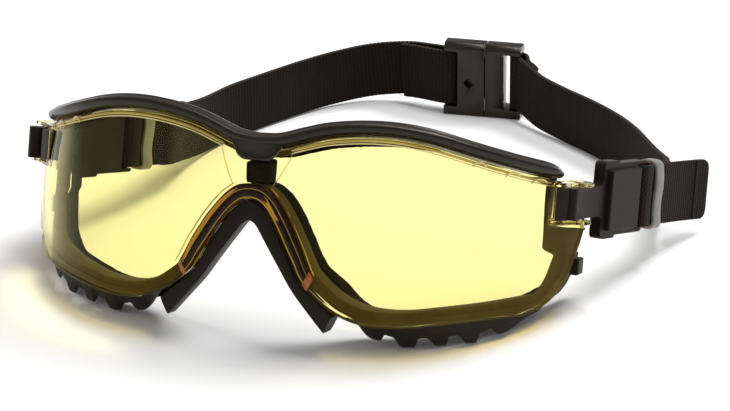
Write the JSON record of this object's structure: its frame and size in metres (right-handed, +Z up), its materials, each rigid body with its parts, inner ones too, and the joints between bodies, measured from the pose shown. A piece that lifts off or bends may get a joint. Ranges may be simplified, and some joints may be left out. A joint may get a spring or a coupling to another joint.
{
  "type": "safety goggles",
  "caption": "Hybrid safety goggles: one-piece wrap-round amber lens, brow bar, vented face gasket with foam, nose pad, swivelling strap clips and an elastic strap with a buckle.",
  "frame": {"origin": "on the surface the goggles lie on, under the middle of the whole object's box", "axes": "-Y is the way the lens faces, +Z up, +X to the wearer's left as the lens faces the viewer"},
  "size_m": [0.166, 0.176, 0.0566],
  "materials": {
    "amber_lens": "clear pale amber polycarbonate, polished",
    "satin_black": "satin moulded nylon",
    "black_rubber": "matt soft rubber",
    "black_foam": "fine closed-cell foam",
    "webbing": "woven elastic webbing",
    "grey_keeper": "translucent grey elastomer",
    "steel_pin": "plain steel"
  },
  "bodies": {
    "front": {"lens": "amber_lens", "brow_bar": "satin_black", "gasket_frame": "black_rubber", "foam_liner": "black_foam", "nose_pad": "black_rubber", "hinge_block_left": "satin_black", "hinge_block_right": "satin_black", "hinge_pin_left": "steel_pin", "hinge_pin_right": "steel_pin", "strap_left": "webbing", "strap_right": "webbing", "buckle_socket": "satin_black"},
    "clip_right": {"strap_clip_right": "satin_black", "strap_fold_right": "webbing"},
    "clip_left": {"strap_clip_left": "satin_black", "strap_fold_left": "webbing"},
    "keeper_right": {"strap_keeper_right": "grey_keeper"},
    "keeper_left": {"strap_keeper_left": "grey_keeper"},
    "plug": {"buckle_plug": "satin_black"}
  },
  "joints": [
    {"name": "clip_right_swing", "type": "hinge", "parent": "front", "child": "clip_right", "pos_m": [0.06366, -0.03812, 0.02773], "axis": [0, 0.2756, 0.9613], "range_deg": [-5, 45], "deforming": ["strap_right"]},
    {"name": "clip_left_swing", "type": "hinge", "parent": "front", "child": "clip_left", "pos_m": [-0.07954, -0.03812, 0.02773], "axis": [0, 0.2756, 0.9613], "range_deg": [-10, 40], "deforming": ["strap_left"]},
    {"name": "keeper_right_slide", "type": "slide", "parent": "clip_right", "child": "keeper_right", "axis": [0.2588, 0.9285, -0.2662], "range_m": [0, 0.005]},
    {"name": "keeper_left_slide", "type": "slide", "parent": "clip_left", "child": "keeper_left", "axis": [0.342, 0.9033, -0.259], "range_m": [0, 0.005]},
    {"name": "buckle_release", "type": "slide", "parent": "front", "child": "plug", "axis": [0.9976, 0.0698, 0], "range_m": [0, 0.0065], "deforming": ["strap_right"]}
  ]
}
